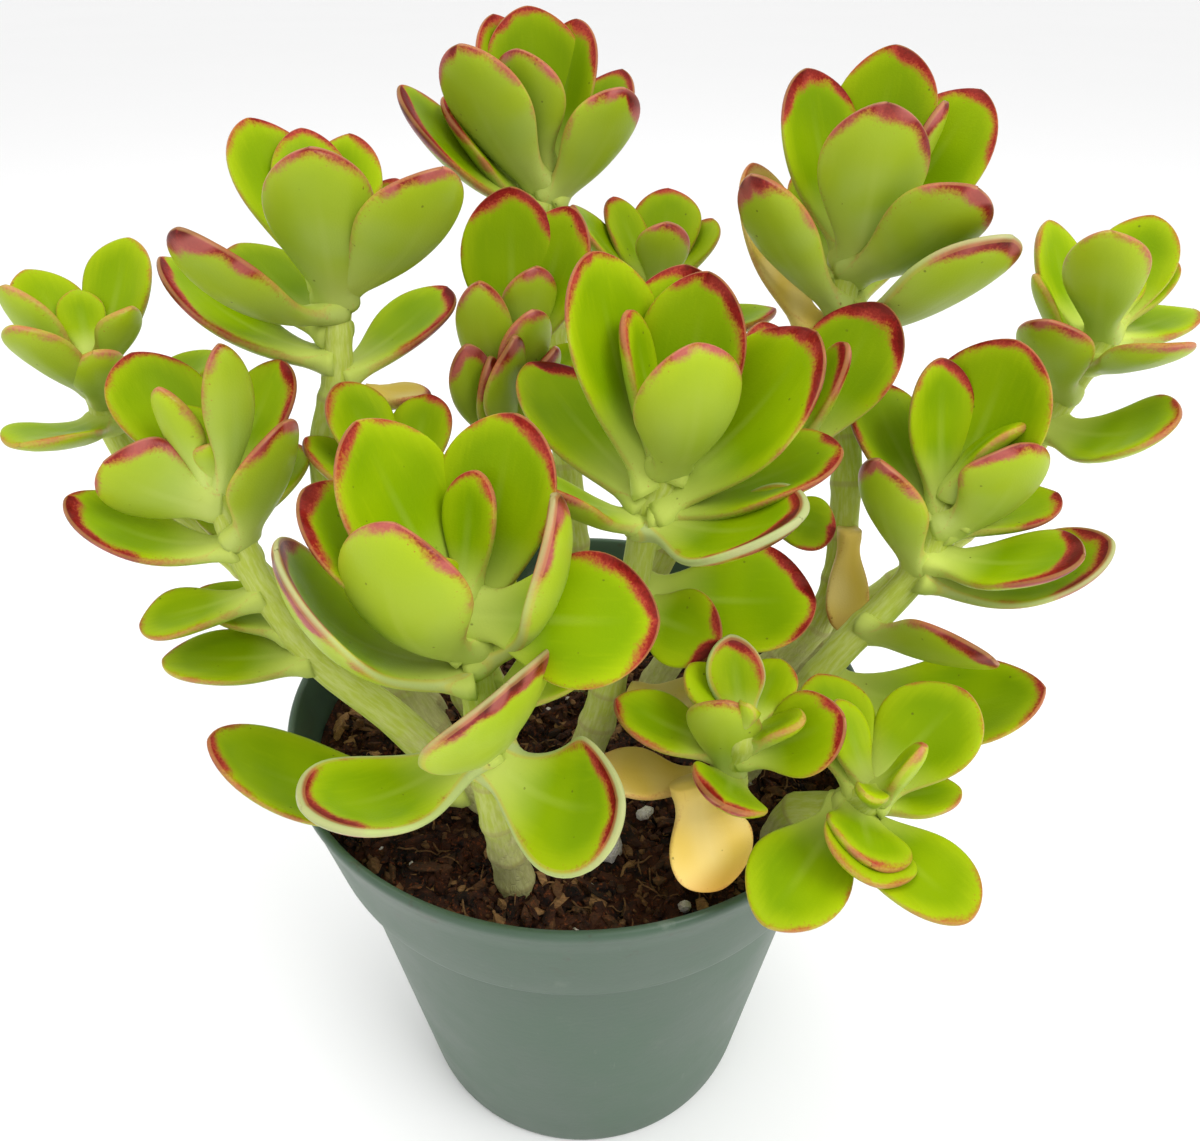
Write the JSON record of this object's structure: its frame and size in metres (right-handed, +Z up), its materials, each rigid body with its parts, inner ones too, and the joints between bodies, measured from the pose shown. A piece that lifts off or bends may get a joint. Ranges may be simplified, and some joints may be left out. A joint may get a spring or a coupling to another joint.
{
  "type": "potted succulent",
  "caption": "Tree stonecrop with upright branching shoots of thick spoon-shaped leaves edged in red, growing in bark mix in a round plastic nursery pot.",
  "frame": {"origin": "centre of the pot's base, on the floor", "axes": "+Z up along the pot's axis, -Y towards the viewer, +X to the viewer's right"},
  "size_m": [0.197, 0.1223, 0.2051],
  "materials": {
    "leaf": "waxy satin, red at the leaf margins",
    "old_leaf": "waxy satin, yellowed",
    "pot": "satin moulded",
    "soil": "loose bark and coir with white perlite"
  },
  "bodies": {
    "root": {"pot": "pot", "soil": "soil", "shoot_front": "leaf", "shoot_left": "leaf", "shoot_centre": "leaf", "shoot_right": "leaf", "shoot_back": "leaf", "shoot_back_right": "leaf", "shoot_back_left": "leaf", "shoot_far_left": "leaf", "shoot_far_right": "leaf", "shoot_front_low": "leaf", "shoot_front_right": "leaf", "shoot_middle": "leaf", "shoot_back_small": "leaf", "shoot_right_small": "leaf", "shoot_left_small": "leaf", "old_leaf_back": "old_leaf", "old_leaf_left": "old_leaf", "old_leaf_right": "old_leaf", "old_leaf_front": "old_leaf", "old_leaf_under": "old_leaf", "old_leaf_centre": "old_leaf"}
  },
  "joints": []
}
